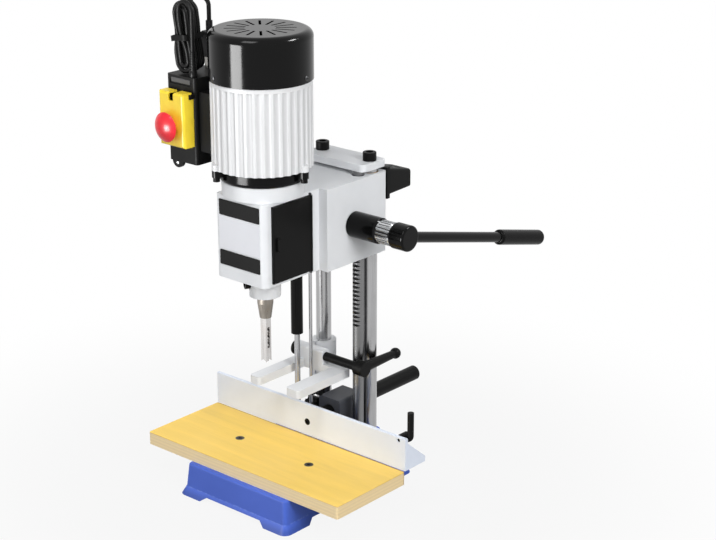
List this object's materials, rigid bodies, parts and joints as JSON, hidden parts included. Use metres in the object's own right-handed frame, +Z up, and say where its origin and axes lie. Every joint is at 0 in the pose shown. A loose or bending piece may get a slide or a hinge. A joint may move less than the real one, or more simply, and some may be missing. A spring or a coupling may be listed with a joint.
{
  "type": "hollow chisel mortiser",
  "caption": "Bench mortiser: a motor head on columns drives a bit in a hollow chisel down by a geared lever, over a table with a sliding fence and a hold-down fork.",
  "frame": {"origin": "centre of the bench screws, on the bench surface", "axes": "+X to the user's right, -Y to the front, +Z up along the columns"},
  "size_m": [0.3635, 0.5182, 0.6963],
  "materials": {
    "blue_paint": "semi-gloss paint over cast iron",
    "table_wood": "clear-coated board",
    "dark_steel": "black oxide",
    "chrome": "polished",
    "grey_paint": "semi-gloss paint",
    "black_steel": "black finish",
    "bright_steel": "ground",
    "bronze": "bored",
    "black_plastic": "satin",
    "silver_plate": "bare plate",
    "black_paint": "gloss paint",
    "motor_aluminium": "silver paint",
    "gloss_black": "gloss",
    "grip": "moulded",
    "fence_paint": "semi-gloss paint",
    "green_plastic": "moulded",
    "red_plastic": "moulded",
    "yellow_plastic": "moulded",
    "cord_rubber": "satin"
  },
  "bodies": {
    "base": {"base_casting": "blue_paint", "table_board": "table_wood", "table_screws": "dark_steel", "left_column": "chrome", "right_column": "chrome", "top_plate": "grey_paint", "top_plate_bolts": "black_steel", "rack_bar": "bright_steel", "depth_rod": "bright_steel", "gas_strut_rod": "chrome", "bar_guide": "black_paint"},
    "head": {"head_casting": "grey_paint", "bronze_bushes": "bronze", "chuck_cover_pin": "bright_steel", "black_plates": "black_plastic", "silver_plate": "silver_plate", "chisel_bushing": "bright_steel", "hollow_chisel": "bright_steel", "chisel_lock_screw": "bright_steel", "motor_flange": "black_paint", "motor_bolts": "bright_steel", "motor_housing": "motor_aluminium", "motor_stator": "dark_steel", "motor_bearings": "bright_steel", "fan_cover": "gloss_black", "gas_strut_cylinder": "black_steel", "switch_bracket": "black_paint", "switch_box": "black_plastic", "flap_pin": "black_plastic", "cord_gland": "cord_rubber", "cord_lead": "cord_rubber", "cord_hank": "cord_rubber", "plug_lead": "cord_rubber", "mains_plug": "cord_rubber", "cord_tie": "black_plastic", "tool_holder": "black_plastic"},
    "spindle": {"motor_shaft": "bright_steel", "cooling_fan": "black_plastic", "drill_chuck": "dark_steel", "auger_bit": "bright_steel"},
    "lever": {"pinion_shaft": "bright_steel", "lever_hub": "black_paint", "hub_ring": "chrome", "lever_boss": "black_paint", "lever_rod": "black_paint", "lever_grip": "grip"},
    "hold_down": {"hold_down_fork": "grey_paint"},
    "hold_clamp": {"clamp_lever": "black_steel"},
    "fence": {"fence_plate": "fence_paint", "fence_bar": "black_steel", "fence_screw": "black_steel"},
    "fence_handle": {"fence_lever": "black_plastic"},
    "bar_knob": {"bar_lock_knob": "black_plastic"},
    "stop_collar": {"depth_collar": "black_steel", "depth_thumb_screw": "black_steel"},
    "chuck_door": {"chuck_cover": "black_plastic"},
    "flap": {"switch_flap": "yellow_plastic"},
    "mushroom": {"mushroom_stop": "red_plastic"},
    "start": {"start_button": "green_plastic"},
    "stop": {"stop_button": "red_plastic"}
  },
  "joints": [
    {"name": "head_slide", "type": "slide", "parent": "base", "child": "head", "axis": [0, 0, -1], "range_m": [0, 0.086], "stiffness_N_per_m": 500, "springref_m": -0.7},
    {"name": "spindle_spin", "type": "hinge", "parent": "head", "child": "spindle", "pos_m": [0, -0.074, 0.4], "axis": [0, 0, 1], "continuous": true},
    {"name": "lever_turn", "type": "hinge", "parent": "head", "child": "lever", "pos_m": [0.06, 0.0396, 0.386], "axis": [1, 0, 0], "range_deg": [0, 224]},
    {"name": "hold_down_slide", "type": "slide", "parent": "base", "child": "hold_down", "axis": [0, 0, 1], "range_m": [-0.034, 0.03]},
    {"name": "hold_clamp_turn", "type": "hinge", "parent": "hold_down", "child": "hold_clamp", "pos_m": [0, 0.05, 0.172], "axis": [1, 0, 0], "range_deg": [-25, 25]},
    {"name": "fence_slide", "type": "slide", "parent": "base", "child": "fence", "axis": [0, -1, 0], "range_m": [0, 0.06]},
    {"name": "fence_handle_turn", "type": "hinge", "parent": "fence", "child": "fence_handle", "pos_m": [0.168, 0.013, 0.108], "axis": [0, -1, 0], "range_deg": [0, 75]},
    {"name": "bar_knob_turn", "type": "hinge", "parent": "base", "child": "bar_knob", "pos_m": [-0.03, 0.06, 0.086], "axis": [1, 0, 0], "range_deg": [-180, 180]},
    {"name": "stop_collar_slide", "type": "slide", "parent": "base", "child": "stop_collar", "axis": [0, 0, 1], "range_m": [0, 0.105]},
    {"name": "chuck_door_turn", "type": "hinge", "parent": "head", "child": "chuck_door", "pos_m": [0.0478, -0.03375, 0.3885], "axis": [0, 0, 1], "range_deg": [0, 95]},
    {"name": "flap_turn", "type": "hinge", "parent": "head", "child": "flap", "pos_m": [-0.097, -0.131, 0.5727], "axis": [-1, 0, 0], "range_deg": [0, 95]},
    {"name": "mushroom_press", "type": "slide", "parent": "flap", "child": "mushroom", "axis": [0, 1, 0], "range_m": [0, 0.005], "stiffness_N_per_m": 300, "springref_m": -0.004},
    {"name": "start_press", "type": "slide", "parent": "head", "child": "start", "axis": [0, 1, 0], "range_m": [0, 0.003], "stiffness_N_per_m": 300, "springref_m": -0.002},
    {"name": "stop_press", "type": "slide", "parent": "head", "child": "stop", "axis": [0, 1, 0], "range_m": [0, 0.003], "stiffness_N_per_m": 300, "springref_m": -0.002}
  ],
  "couplings": [
    {"joint": "lever_turn", "follows": "head_slide", "rad_per_m": 45.455}
  ]
}
